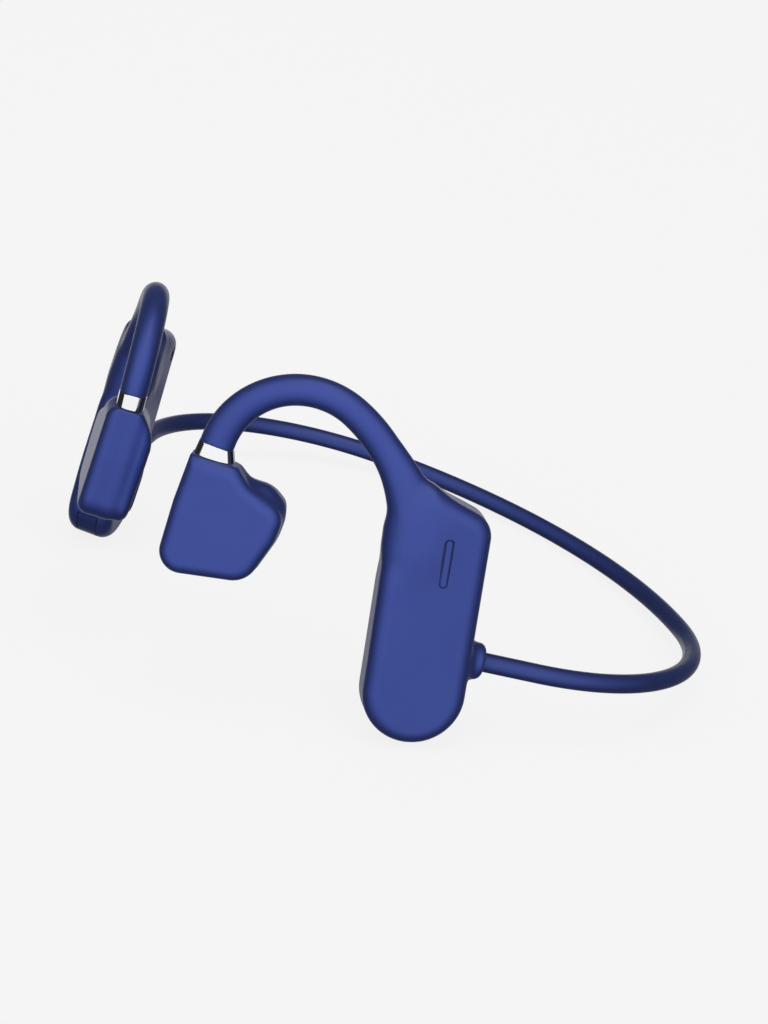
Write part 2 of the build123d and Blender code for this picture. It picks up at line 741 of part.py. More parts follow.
for name, piece in centre_pieces.items():
    piece.part.label = name
    export_step(piece.part, f"parts/{name}.step")

for name, piece in {**paired_pieces, **left_pieces}.items():
    piece.part.label = f"left_{name}"
    export_step(piece.part, f"parts/left_{name}.step")

for name, piece in {**paired_pieces, **right_pieces}.items():
    with BuildPart() as twin:
        mirror(piece.part, about=Plane.YZ)
    twin.part.label = f"right_{name}"
    export_step(twin.part, f"parts/right_{name}.step")
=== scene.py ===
from math import cos, radians, sin

import bmesh
import bpy
import numpy as np
from mathutils import Matrix, Vector


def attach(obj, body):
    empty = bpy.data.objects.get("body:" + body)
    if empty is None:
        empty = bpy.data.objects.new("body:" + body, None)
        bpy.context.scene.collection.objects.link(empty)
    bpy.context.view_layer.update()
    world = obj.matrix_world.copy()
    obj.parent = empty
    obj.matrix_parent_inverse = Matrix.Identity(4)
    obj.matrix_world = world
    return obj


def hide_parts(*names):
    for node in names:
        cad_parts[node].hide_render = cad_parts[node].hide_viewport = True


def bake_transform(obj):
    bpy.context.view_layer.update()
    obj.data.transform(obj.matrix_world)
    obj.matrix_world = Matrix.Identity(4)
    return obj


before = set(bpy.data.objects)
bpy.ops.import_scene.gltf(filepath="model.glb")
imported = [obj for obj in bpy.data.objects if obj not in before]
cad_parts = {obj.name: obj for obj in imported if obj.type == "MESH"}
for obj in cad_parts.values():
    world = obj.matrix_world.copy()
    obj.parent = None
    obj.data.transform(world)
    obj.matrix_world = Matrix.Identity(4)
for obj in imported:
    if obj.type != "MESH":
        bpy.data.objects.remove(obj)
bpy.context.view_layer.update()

MM = 0.001

# ------------------------------------------------------------------ sizes, in millimetres
REST_TILT = 10.36
BASE_ORIGIN = (0.0, -47.77, 22.86)
BAND_R = 1.99
BAND_BACK_Y = 116.0
BAND_FALL = 0.5
NAPE_BEND_R, NAPE_BEND_DEG = 102.3, 29.05
SIDE_BEND_R, SIDE_BEND_DEG = 43.4, 96.35
BAND_TAIL = 14.8
BAND_EXIT_RUN = 11.7
RING_TOP = (13.5, -15.1, 28.5)
HOOK_TOE = 40.5
HOOK_START = 1.05
HOOK_HALF_W, HOOK_HALF_T = 3.5, 2.88
HOOK_THINNER, HOOK_THICKER = 0.35, 0.15
CROWN_R, CROWN_DEG = 16.95, 116.5
REAR_R, REAR_DEG = 31.9, 51.8
SLEEVE_REAR_DEG = 21.3
BOOT_FLARE_OUTSIDE, BOOT_FLARE_INSIDE = 3.2, 0.65
BOOT_DEEPER_OUTER, BOOT_DEEPER_INNER = 0.8, 1.7
BOOT_AT, BOOT_BLEND = (-6.5, 19.4), 3.4
RING_H, RING_GAP = 2.75, 0.2
RING_LEAN = 3.55
RING_FOOT_HALF_W, RING_TOP_HALF_W, RING_HALF_T = 4.15, 3.5, 2.9
RING_SQUARENESS = 2.7
DRIVER_TILT, DRIVER_TURN = 3.0, 3.0
FACE_MID, FACE_HALF_T, FACE_EDGE = 0.05, 4.25, 2.4
LOBE_IN, LOBE_HALF_T, LOBE_SWELL = 2.9, 3.3, 0.7
BEVEL_N = 2.95
POD_CENTRE = (49.25, 17.5, 10.0)
POD_TOE, POD_LEAN, POD_TILT = 54.6, 7.4, 2.0
POD_HALF_W, POD_HALF_T, POD_EDGE = 10.4, 5.25, 3.0
POD_ARC_Y, POD_FOOT_R = -19.1, 10.38
POD_THINNING, POD_SHAVE, POD_TOP_SHAVE = 0.9, 0.7, 1.8
COLLAR_R, COLLAR_L, COLLAR_EDGE, COLLAR_BLEND = 3.75, 9.0, 1.3, 2.4
CORE_R, CORE_UP = 0.6, 0.8
CABLE_R, CABLE_UP = 0.55, -0.85
WIRE_TAIL = 16.0
BUTTON_AT = (1.75, 9.2)
BUTTON_L, BUTTON_W = 9.7, 1.3
KEY_L, KEY_W, KEY_YS = 5.4, 2.2, (2.4, 9.4)
SCREWS = ((6.6, 14.6), (4.6, -23.6))
SMALL_HOLES = (((1.35, 10.0), 0.66), ((-5.6, -11.0), 0.5))
GAP, BUTTON_GAP = 0.22, 0.15
FLAP_FROM, FLAP_TO, FLAP_GAP_DEG = 195.0, 255.0, 1.3
FLAP_SECTION = ((9.0, 2.35), (10.25, 2.35), (10.7, 2.75))
PORT_L, PORT_W, PORT_DEG = 9.1, 3.4, 225.0
PAD_W, PAD_CORNER_R = 11.0, 3


def unit(v):
    v = np.asarray(v, float)
    return v / np.linalg.norm(v)


def turned(about, degrees):
    """Rotation matrix about one of the axes 0, 1 or 2."""
    c, s = cos(radians(degrees)), sin(radians(degrees))
    m = np.eye(3)
    a, b = [(1, 2), (2, 0), (0, 1)][about]
    m[a, a], m[a, b], m[b, a], m[b, b] = c, -s, s, c
    return m


class Place:
    """A frame within the part's: origin and three axes, in millimetres."""

    def __init__(self, origin, x, z):
        self.o = np.asarray(origin, float)
        self.x, self.z = unit(x), unit(z)
        self.y = np.cross(self.z, self.x)
        self.m = np.array([self.x, self.y, self.z])

    def to_part(self, p):
        return self.o + np.asarray(p, float) @ self.m

    def to_local(self, p):
        return (np.asarray(p, float) - self.o) @ self.m.T

    def within(self, origin, x, z):
        return Place(self.to_part(origin), np.asarray(x, float) @ self.m, np.asarray(z, float) @ self.m)

    def tipped(self, about_x, about_y, about_z):
        r = turned(0, about_x) @ turned(1, about_y) @ turned(2, about_z)
        return self.within((0, 0, 0), r[:, 0], r[:, 2])


tilt = radians(REST_TILT)
BASE = Place(BASE_ORIGIN, (1, 0, 0), (0, sin(tilt), cos(tilt)))
fall = radians(BAND_FALL)
BAND = BASE.within((0, 0, -BAND_BACK_Y * sin(fall)), (1, 0, 0), (0, -sin(fall), cos(fall)))


def upright(place, toe):
    """A frame with y up and its face turned from straight ahead by the toe angle."""
    c, s = cos(radians(toe)), sin(radians(toe))
    return BASE.within(place, (c, s, 0), (s, -c, 0))


HOOK = upright(RING_TOP, HOOK_TOE)
DRIVER = HOOK.within((0, -RING_H - RING_GAP, 0), (1, 0, 0), (0, 0, 1)).tipped(-DRIVER_TILT, -DRIVER_TURN, 0)
POD = upright(POD_CENTRE, POD_TOE).tipped(-POD_TILT, 0, POD_LEAN)

turn = NAPE_BEND_DEG + SIDE_BEND_DEG
side_centre = np.array([
    (NAPE_BEND_R - SIDE_BEND_R) * sin(radians(NAPE_BEND_DEG)),
    BAND_BACK_Y - NAPE_BEND_R + (NAPE_BEND_R - SIDE_BEND_R) * cos(radians(NAPE_BEND_DEG)),
])
bend_end = side_centre + SIDE_BEND_R * np.array([sin(radians(turn)), cos(radians(turn))])
tail_way = np.array([cos(radians(turn)), -sin(radians(turn))])


def arc(centre, radius, start, sweep, steps):
    """Points along an arc, angles in degrees."""
    a = np.radians(np.linspace(start, start + sweep, steps))
    return np.c_[centre[0] + radius * np.cos(a), centre[1] + radius * np.sin(a)]


def half_band(tail):
    """Centre line of the neckband's left half, from the nape to a straight tail inside the pod."""
    nape = arc((0, BAND_BACK_Y - NAPE_BEND_R), NAPE_BEND_R, 90, -NAPE_BEND_DEG, 60)
    side = arc(side_centre, SIDE_BEND_R, 90 - NAPE_BEND_DEG, -SIDE_BEND_DEG, 110)
    end = bend_end + tail * tail_way
    flat = np.vstack([nape, side[1:], np.linspace(bend_end, end, 12)[1:]])
    return BAND.to_part(np.c_[flat, np.zeros(len(flat))])


# ------------------------------------------------------------------ distance fields
def smooth_min(a, b, k):
    """Lower of two distances, blended where they come within k of each other."""
    h = np.clip(0.5 + 0.5 * (b - a) / k, 0, 1)
    return b * (1 - h) + a * h - k * h * (1 - h)


def smooth_max(a, b, k):
    return -smooth_min(-a, -b, k)


def ease(x, low, high):
    """Smooth step from 0 at low to 1 at high."""
    t = np.clip((x - low) / (high - low), 0, 1)
    return t * t * (3 - 2 * t)


def rounded_outline(points, radii, steps=14):
    """Closed polyline through points with each corner rounded to its radius."""
    p = np.asarray(points, float)
    out = []
    for i, r in enumerate(radii):
        a, b, c = p[i - 1], p[i], p[(i + 1) % len(p)]
        if r <= 0:
            out.append(b[None])
            continue
        u, v = unit(a - b), unit(c - b)
        half = np.arccos(np.clip(u @ v, -1, 1)) / 2
        reach = r / np.tan(half)
        start, end = b + u * reach, b + v * reach
        centre = b + unit(u + v) * r / np.sin(half)
        s, e = start - centre, end - centre
        a0, a1 = np.arctan2(s[1], s[0]), np.arctan2(e[1], e[0])
        sweep = (a1 - a0 + np.pi) % (2 * np.pi) - np.pi
        t = a0 + sweep * np.linspace(0, 1, steps)
        out.append(centre + r * np.c_[np.cos(t), np.sin(t)])
    return np.vstack(out)


class Outline:
    """Signed distance to a closed outline, looked up in a fine grid."""

    def __init__(self, line, cell=0.12, edge=14.0):
        self.line, self.cell = line, cell
        self.low = line.min(0) - edge
        n = np.ceil((line.max(0) + edge - self.low) / cell).astype(int) + 1
        gx = self.low[0] + cell * np.arange(n[0])
        gy = self.low[1] + cell * np.arange(n[1])
        x, y = [g.ravel() for g in np.meshgrid(gx, gy, indexing="ij")]
        best = np.full(len(x), 1e9)
        inside = np.zeros(len(x), bool)
        for a, b in zip(line, np.roll(line, -1, 0)):
            d = b - a
            t = np.clip(((x - a[0]) * d[0] + (y - a[1]) * d[1]) / max(d @ d, 1e-12), 0, 1)
            best = np.minimum(best, (x - a[0] - t * d[0]) ** 2 + (y - a[1] - t * d[1]) ** 2)
            spans = (a[1] > y) != (b[1] > y)
            if abs(d[1]) > 1e-12:
                inside ^= spans & (x < a[0] + (y - a[1]) * d[0] / d[1])
        self.field = (np.where(inside, -1, 1) * np.sqrt(best)).reshape(n)

    def __call__(self, x, y):
        u = np.clip((x - self.low[0]) / self.cell, 0, self.field.shape[0] - 1.001)
        v = np.clip((y - self.low[1]) / self.cell, 0, self.field.shape[1] - 1.001)
        i, j = u.astype(int), v.astype(int)
        fu, fv = u - i, v - j
        f = self.field
        low = f[i, j] * (1 - fu) + f[i + 1, j] * fu
        high = f[i, j + 1] * (1 - fu) + f[i + 1, j + 1] * fu
        return low * (1 - fv) + high * fv


def rounded_corner(a, b, edge):
    """Distance to where two faces meet, with the corner between them rounded."""
    return np.minimum(np.maximum(a, b), 0) + np.hypot(np.maximum(a, 0), np.maximum(b, 0)) - edge


def slab(d2, n, half, edge):
    """Extruded outline with rounded rims: d2 across the outline, n from the middle plane."""
    return rounded_corner(d2 + edge, np.abs(n) - (half - edge), edge)


def surface(field, low, high, cell, polish=3):
    """Mesh of a field's zero level: one vertex per crossed cell, then moved onto the level itself."""
    low, high = np.asarray(low, float), np.asarray(high, float)
    n = np.ceil((high - low) / cell).astype(int) + 1
    axes = [low[k] + cell * np.arange(n[k]) for k in range(3)]
    values = np.empty(n, np.float32)
    yz = np.stack(np.meshgrid(axes[1], axes[2], indexing="ij"), -1).reshape(-1, 2)
    for i, x in enumerate(axes[0]):
        values[i] = field(np.c_[np.full(len(yz), x), yz]).reshape(n[1], n[2])
    cells = n - 1
    total = int(np.prod(cells))
    count, sums, edges = np.zeros(total), np.zeros((total, 3)), []
    stride = np.array([cells[1] * cells[2], cells[2], 1])
    for k in range(3):
        a = values[tuple(slice(0, -1) if q == k else slice(None) for q in range(3))]
        b = values[tuple(slice(1, None) if q == k else slice(None) for q in range(3))]
        at = np.argwhere((a < 0) != (b < 0))
        va, vb = a[tuple(at.T)], b[tuple(at.T)]
        p = at.astype(float)
        p[:, k] += va / (va - vb)
        u, v = [q for q in range(3) if q != k]
        ring = []
        for du, dv in ((0, 0), (1, 0), (1, 1), (0, 1)):
            c = at.copy()
            c[:, u] -= du
            c[:, v] -= dv
            flat = c @ stride
            ring.append(flat)
            count += np.bincount(flat, minlength=total)
            for q in range(3):
                sums[:, q] += np.bincount(flat, weights=p[:, q], minlength=total)
        ring = np.array(ring).T
        flip = (va < 0) if k != 1 else (va >= 0)
        ring[~flip] = ring[~flip][:, ::-1]
        edges.append(ring)
    used = np.flatnonzero(count)
    number = np.full(total, -1)
    number[used] = np.arange(len(used))
    points = low + cell * sums[used] / count[used][:, None]
    quads = number[np.vstack(edges)]
    reach = 0.02
    for _ in range(polish):
        rises = [field(points + reach * e) - field(points - reach * e) for e in np.eye(3)]
        slope = np.stack(rises, 1) / (2 * reach)
        step = field(points)[:, None] * slope / np.maximum((slope**2).sum(1), 1e-6)[:, None]
        points = points - np.clip(step, -cell, cell)
    return points, quads


# ------------------------------------------------------------------ the hook's run
crown_centre = np.array([CROWN_R, -HOOK_START])
crown_end = 180 - CROWN_DEG
crown_end_way = np.array([cos(radians(crown_end)), sin(radians(crown_end))])
rear_centre = crown_centre + (CROWN_R - REAR_R) * crown_end_way
LEAD = 8.0
CROWN_L = CROWN_R * radians(CROWN_DEG)
SLEEVE_L = CROWN_L + REAR_R * radians(SLEEVE_REAR_DEG)
RUN_L = CROWN_L + REAR_R * radians(REAR_DEG)


def angle_of(d):
    """Directions of plane vectors, in degrees."""
    return np.degrees(np.arctan2(d[:, 1], d[:, 0]))


def beside_arc(flat, centre, radius, start, swept, run_before):
    """Run, inward offset and distance of points from one arc of the hook, in its plane."""
    foot = np.radians(start - swept)
    near = centre + radius * np.c_[np.cos(foot), np.sin(foot)]
    run = run_before + radius * np.radians(swept)
    return run, radius - np.hypot(*(flat - centre).T), np.hypot(*(flat - near).T)


def along_hook(p):
    """Run along the hook's centre line, distance from it in its plane, and offsets inward and across."""
    s, z, across = HOOK.to_local(p).T
    flat = np.c_[s, z]
    t = np.clip(-HOOK_START - z, 0, LEAD)
    lead = (-t, s, np.hypot(s, z + HOOK_START + t))
    swept = np.clip((180 - angle_of(flat - crown_centre) + 90) % 360 - 90, 0, CROWN_DEG)
    crown = beside_arc(flat, crown_centre, CROWN_R, 180, swept, 0.0)
    swept = np.clip(crown_end - angle_of(flat - rear_centre), 0, REAR_DEG)
    rear = beside_arc(flat, rear_centre, REAR_R, crown_end, swept, CROWN_L)
    runs, inwards, reaches = [np.stack(each) for each in zip(lead, crown, rear)]
    pick = reaches.argmin(0)
    return np.choose(pick, runs), reaches.min(0), np.choose(pick, inwards), across


def hook_field(p):
    """Hook sleeve and boot: an oval section that flares where it meets the pod."""
    run, off, inward, across = along_hook(p)
    wide = HOOK_HALF_W - HOOK_THINNER * ease(run, -2, 20) + HOOK_THICKER * ease(run, 30, 45)
    outside = ease(run, SLEEVE_L - 4.5, RUN_L - 2) * ease(-inward, -2.5, 2.5)
    inside = BOOT_FLARE_INSIDE * ease(run, SLEEVE_L - 2, RUN_L - 3) * ease(inward, 0, 3)
    wide = wide + BOOT_FLARE_OUTSIDE * outside + inside
    deeper = np.where(across > 0, BOOT_DEEPER_OUTER, BOOT_DEEPER_INNER)
    deep = HOOK_HALF_T + deeper * ease(run, SLEEVE_L - 4, RUN_L - 4)
    return (np.hypot(off / wide, across / deep) - 1) * np.minimum(wide, deep)


# ------------------------------------------------------------------ pod, boot and band collar
pod_outline = Outline(rounded_outline(
    [
        (-10.0, 14.2), (-POD_HALF_W, 3.0), (-POD_HALF_W, POD_ARC_Y), (-POD_HALF_W, POD_ARC_Y - POD_HALF_W),
        (POD_HALF_W, POD_ARC_Y - POD_HALF_W), (POD_HALF_W, 17.9), (-3.0, 23.6),
    ],
    [4.0, 40, 0, POD_FOOT_R, POD_FOOT_R, 5.5, 2.0],
    24,
))
exit_at = BAND.to_part((*(bend_end + BAND_EXIT_RUN * tail_way), 0))
exit_way = -np.array([*tail_way, 0]) @ BAND.m


def collar_field(p):
    """Collar where the neckband enters the pod: a short rounded cylinder."""
    r = p - exit_at
    t = r @ exit_way
    off = np.sqrt(np.maximum((r * r).sum(1) - t * t, 0))
    collar = rounded_corner(off - (COLLAR_R - COLLAR_EDGE), t + COLLAR_EDGE, COLLAR_EDGE)
    return np.maximum(collar, -(t + COLLAR_L))


def side_field(p):
    """Pod, boot, hook and band collar, cut off level where the chrome ring sits."""
    x, y, n = POD.to_local(p).T
    taper = ease(0.66 * (y - BOOT_AT[1]) - 0.75 * (x - BOOT_AT[0]), -9, 3)
    slope = POD_SHAVE * ease(y, -14, 8) * ease(-x, 0, 11)
    slope = slope + POD_TOP_SHAVE * ease(y, 3, 15) * ease(-x, 1, 11)
    half = POD_HALF_T - POD_THINNING * taper - slope / 2
    pod = slab(pod_outline(x, y), n + slope / 2, half, POD_EDGE)
    both = smooth_min(pod, hook_field(p), BOOT_BLEND)
    both = smooth_min(both, collar_field(p), COLLAR_BLEND)
    h = HOOK.to_local(p)
    lean = radians(RING_LEAN)
    seat = -(cos(lean) * (h[:, 1] + HOOK_START - 1.0) + sin(lean) * h[:, 0])
    near_ring = (h[:, 0] < 9) & (h[:, 1] < 6)
    return np.where(near_ring, smooth_max(both, seat, 0.25), both)


# ------------------------------------------------------------------ driver pod skin
face_outline = Outline(rounded_outline(
    [
        (-4.1, 2), (-5.05, -10), (-5.25, -25.0), (13.3, -21.7),
        (16.6, -12), (17.0, -6.1), (8.8, -3.0), (3.3, 2),
    ],
    [0, 20, 4.5, 5.5, 12, 3.8, 6.0, 0],
))
lobe_outline = Outline(rounded_outline(
    [
        (-4.0, 2), (-4.9, -10), (-5.1, -24.8), (13.0, -21.5), (16.3, -12),
        (16.3, -5.3), (12.4, -2.2), (7.3, -2.4), (2.9, 2),
    ],
    [0, 20, 4.5, 5.5, 12, 3.2, 5.0, 3.0, 0],
))


def bell(x, y, at, spread):
    """One at a place, falling off smoothly all round it."""
    return np.exp(-(((x - at[0]) / spread[0]) ** 2) - ((y - at[1]) / spread[1]) ** 2)


def driver_field(p):
    """Driver pod: an outer face and an inner lobe, bevelled under the chrome ring."""
    x, y, n = DRIVER.to_local(p).T
    face = slab(face_outline(x, y), n - FACE_MID, FACE_HALF_T, FACE_EDGE)
    swell = LOBE_SWELL * bell(x, y, (6.0, -9.0), (9.0, 6.0))
    edge = np.where(n > -LOBE_IN, 2.4, 1.9)
    lobe = slab(lobe_outline(x, y), (n + LOBE_IN) / (1 + swell / LOBE_HALF_T), LOBE_HALF_T, edge)
    fillet = 0.9 + 1.9 * bell(x, y, (12.5, -4.5), (5.0, 4.5))
    both = smooth_min(face, lobe, fillet)
    for way, angle, blend in ((1, 48, 1.0), (-1, 38, 1.6)):
        c, s = cos(radians(angle)), sin(radians(angle))
        both = smooth_max(both, way * c * (n - way * BEVEL_N) + s * y, blend)
    return smooth_max(both, y, 0.3)


def mesh_piece(name, points, faces, look):
    """Smooth-shaded object from points in millimetres."""
    mesh = bpy.data.meshes.new(name)
    corners = [tuple(v) for v in np.asarray(points) * MM]
    mesh.from_pydata(corners, [], [tuple(int(i) for i in f) for f in faces])
    mesh.validate()
    mesh.update()
    for polygon in mesh.polygons:
        polygon.use_smooth = True
    piece = bpy.data.objects.new(name, mesh)
    bpy.context.scene.collection.objects.link(piece)
    mesh.materials.append(look)
    return piece


MIRROR = np.array([-1.0, 1.0, 1.0])


def on_side(side, points, faces):
    """The left side's mesh as it is, or its mirror image for the right."""
    if side == "left":
        return points, faces
    return points * MIRROR, [tuple(reversed(face)) for face in faces]


def both_sides(name, points, faces, look, nodes, slot, body=None, blend=None, pockets=None):
    """A left piece and its mirror image on the right, on one body, or with its place baked in and no body
    when a blend is given.
    """
    made = []
    for side in ("left", "right"):
        piece = mesh_piece(f"{side}_{name}", *on_side(side, points, faces), look)
        if pockets:
            cut(piece, pockets[side], side)
        if blend:
            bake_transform(piece)
        else:
            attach(piece, body.format(side))
        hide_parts(*[n.format(side) for n in nodes])
        made.append(piece)
    return made


def rings_mesh(rings, cap=True):
    """Points and faces of a skin over closed rings of equal count."""
    n, m = len(rings), len(rings[0])
    faces = [
        (i * m + j, i * m + (j + 1) % m, (i + 1) * m + (j + 1) % m, (i + 1) * m + j)
        for i in range(n - 1) for j in range(m)
    ]
    if cap:
        faces += [tuple(reversed(range(m))), tuple(range((n - 1) * m, n * m))]
    return np.vstack(rings), faces


# ------------------------------------------------------------------ materials
def material(name):
    """An empty material with one shader: the material, its nodes, its links and the shader."""
    mat = bpy.data.materials.new(name)
    mat.use_nodes = True
    nodes, links = mat.node_tree.nodes, mat.node_tree.links
    nodes.clear()
    out = nodes.new("ShaderNodeOutputMaterial")
    shader = nodes.new("ShaderNodeBsdfPrincipled")
    links.new(shader.outputs[0], out.inputs[0])
    return mat, nodes, links, shader


def noise(nodes, links, scale, detail=4.0, rough=0.55):
    """Noise that is fixed to the object."""
    place = nodes.new("ShaderNodeTexCoord")
    field = nodes.new("ShaderNodeTexNoise")
    field.inputs["Scale"].default_value = scale
    field.inputs["Detail"].default_value = detail
    field.inputs["Roughness"].default_value = rough
    links.new(place.outputs["Object"], field.inputs["Vector"])
    return field


def ramp(nodes, links, source, low, high, at=(0.0, 1.0)):
    """Colour that goes from low to high as the source goes between the two places."""
    r = nodes.new("ShaderNodeValToRGB")
    for element, place, colour in zip(r.color_ramp.elements, at, (low, high)):
        element.position = place
        element.color = (*colour, 1)
    links.new(source, r.inputs["Fac"])
    return r.outputs["Color"]


def value_range(nodes, links, source, low, high, start=0.0, end=1.0):
    """Value that goes from low to high as the source goes from start to end."""
    r = nodes.new("ShaderNodeMapRange")
    r.inputs["From Min"].default_value, r.inputs["From Max"].default_value = start, end
    r.inputs["To Min"].default_value, r.inputs["To Max"].default_value = low, high
    links.new(source, r.inputs["Value"])
    return r.outputs["Result"]


def multiplied(nodes, links, a, b):
    """Product of two colours."""
    mix = nodes.new("ShaderNodeMix")
    mix.data_type, mix.blend_type = "RGBA", "MULTIPLY"
    mix.inputs["Factor"].default_value = 1.0
    links.new(a, mix.inputs["A"])
    links.new(b, mix.inputs["B"])
    return mix.outputs["Result"]


def bump(nodes, links, shader, source, strength, distance):
    """Fine relief in the shader's normal, its distance in metres."""
    b = nodes.new("ShaderNodeBump")
    b.inputs["Strength"].default_value = strength
    b.inputs["Distance"].default_value = distance
    links.new(source, b.inputs["Height"])
    links.new(b.outputs["Normal"], shader.inputs["Normal"])


FINE_DETAIL = 6.0


def finish_material(name, low, high, rough, metallic=0.0, grain=900.0, bumps=0.06, see_through=0.0):
    """Colour that drifts slightly over the piece, roughness that varies and a fine grain."""
    mat, nodes, links, shader = material(name)
    drift = noise(nodes, links, 60.0)
    colour = ramp(nodes, links, drift.outputs["Fac"], low, high, (0.35, 0.65))
    links.new(colour, shader.inputs["Base Color"])
    fine = noise(nodes, links, grain, FINE_DETAIL)
    links.new(value_range(nodes, links, fine.outputs["Fac"], *rough), shader.inputs["Roughness"])
    shader.inputs["Metallic"].default_value = metallic
    shader.inputs["Transmission Weight"].default_value = see_through
    bump(nodes, links, shader, fine.outputs["Fac"], bumps, 0.00005)
    return mat


# painted shade: how far the blue base colour is darkened where the surface turns away from the view
PAINTED_EDGE_SHADE = 0.40
COAT = {
    "Sheen Weight": 0.35, "Sheen Roughness": 0.35, "Sheen Tint": (0.5, 0.5, 0.62, 1), "IOR": 1.42,
    "Coat Weight": 0.5, "Coat IOR": 1.28, "Coat Roughness": 0.23,
}


def soft_touch(name, low, high):
    """Rubbery royal-blue coat with painted shade, its base colour darkened where the surface turns away from
    the view, and a pale grey-lilac sheen edge at grazing angles.
    """
    mat, nodes, links, shader = material(name)
    drift = noise(nodes, links, 45.0)
    body = ramp(nodes, links, drift.outputs["Fac"], low, high, (0.3, 0.7))
    facing = nodes.new("ShaderNodeLayerWeight")
    facing.inputs["Blend"].default_value = 0.5
    # painted shade: the base colour is darkened towards the rims that turn away from the view, standing in
    # for light falling off there
    shade = ramp(nodes, links, facing.outputs["Facing"], (1, 1, 1), [PAINTED_EDGE_SHADE] * 3, (0.02, 0.38))
    links.new(multiplied(nodes, links, body, shade), shader.inputs["Base Color"])
    fine = noise(nodes, links, 1400.0, FINE_DETAIL)
    links.new(value_range(nodes, links, fine.outputs["Fac"], 0.5, 0.62), shader.inputs["Roughness"])
    bump(nodes, links, shader, fine.outputs["Fac"], 0.05, 0.00004)
    for socket, value in COAT.items():
        shader.inputs[socket].default_value = value
    return mat


blue = soft_touch("royal_blue_soft_touch", (0.032, 0.066, 0.355), (0.036, 0.072, 0.38))
band_blue = soft_touch("royal_blue_silicone", (0.024, 0.052, 0.28), (0.027, 0.057, 0.30))
pad_blue = soft_touch("royal_blue_pad", (0.027, 0.055, 0.29), (0.031, 0.061, 0.32))
chrome = finish_material("chrome", (0.90, 0.90, 0.91), (0.95, 0.95, 0.96), (0.03, 0.07), 1.0, bumps=0.01)
spring_wire = finish_material("drawn_wire", (0.42, 0.41, 0.40), (0.56, 0.55, 0.53), (0.25, 0.4), 1.0)
jacket = finish_material("cable_jacket", (0.015, 0.015, 0.017), (0.03, 0.03, 0.033), (0.45, 0.6))
dark_steel = finish_material("black_zinc", (0.05, 0.05, 0.055), (0.09, 0.09, 0.1), (0.3, 0.45), 1.0)
nickel = finish_material("nickel", (0.48, 0.47, 0.45), (0.6, 0.59, 0.57), (0.18, 0.32), 1.0)
copper = finish_material(
    "enamelled_copper", (0.62, 0.24, 0.09), (0.78, 0.34, 0.15), (0.2, 0.35), 1.0, grain=2500.0,
)
film = finish_material("diaphragm_film", (0.55, 0.50, 0.38), (0.66, 0.62, 0.5), (0.35, 0.5))
mesh_black = finish_material("black_mesh", (0.015, 0.015, 0.016), (0.03, 0.03, 0.032), (0.3, 0.5), 0.8)
board = finish_material("solder_mask", (0.008, 0.075, 0.03), (0.016, 0.12, 0.05), (0.25, 0.4))
switch_black = finish_material(
    "switch_body", (0.012, 0.012, 0.013), (0.022, 0.022, 0.024), (0.25, 0.4),
)
foil = finish_material(
    "battery_foil", (0.55, 0.56, 0.58), (0.7, 0.71, 0.73), (0.25, 0.5), 1.0, grain=300.0, bumps=0.25,
)
steel_can = finish_material("drawn_steel", (0.5, 0.5, 0.51), (0.66, 0.66, 0.67), (0.2, 0.35), 1.0)
clear = finish_material(
    "clear_acrylic", (0.75, 0.78, 0.82), (0.82, 0.85, 0.9), (0.2, 0.3), see_through=0.15,
)


# ------------------------------------------------------------------ neckband
def band_tube(radius, rise, tail, count):
    """Tube along the neckband's left half, off its centre line by the rise."""
    line = half_band(tail)
    way = np.gradient(line, axis=0)
    way /= np.linalg.norm(way, axis=1)[:, None]
    way[0] = (1, 0, 0)
    turns = np.radians(np.linspace(0, 360, count, endpoint=False))
    rings = []
    for at, along in zip(line, way):
        across = unit(np.cross(BAND.z, along))
        ring = np.cos(turns)[:, None] * across + np.sin(turns)[:, None] * BAND.z
        rings.append(at + rise * BAND.z + radius * ring)
    return rings_mesh(rings, cap=False)


bend_from = BASE.to_part((1.2, 122.6, 0))
bend_to = BASE.to_part((69.6, 97.4, 0))
for name, radius, rise, tail, count, look, slot, node in (
    ("neckband_skin", BAND_R, 0.0, BAND_TAIL, 40, band_blue, "soft_skin", "neckband_sleeve"),
    ("core_wire_half", CORE_R, CORE_UP, WIRE_TAIL, 20, spring_wire, "spring_wire", "neckband_core_wire"),
    ("signal_cable_half", CABLE_R, CABLE_UP, WIRE_TAIL, 20, jacket, "cable_jacket", "neckband_signal_cable"),
):
    both_sides(
        name, *band_tube(radius, rise, tail, count), look,
        blend=("neckband", "{}_side", bend_from, bend_to), nodes=(node,), slot=slot,
    )


# ------------------------------------------------------------------ wells in the pods
def stadium(length, width, steps=16):
    """Outline of a pill standing along y."""
    r, reach = width / 2, (length - width) / 2
    a = np.radians(np.linspace(0, 180, steps))
    top = np.c_[r * np.cos(a), reach + r * np.sin(a)]
    return np.vstack([top, -top])


def disc(radius, count=32):
    a = np.radians(np.linspace(0, 360, count, endpoint=False))
    return radius * np.c_[np.cos(a), np.sin(a)]


def pocket(place, levels):
    """Cutter with flared rims: levels are (height, outline) pairs from the floor up."""
    return rings_mesh([place.to_part(np.c_[flat, np.full(len(flat), h)]) for h, flat in levels])


def round_well(place, levels):
    """Round cutter from (height, radius) pairs."""
    return pocket(place, [(h, disc(radius)) for h, radius in levels])


def pill_well(place, length, width, levels):
    """Pill-shaped cutter from (height, widening) pairs."""
    return pocket(place, [(h, stadium(length + more, width + more)) for h, more in levels])


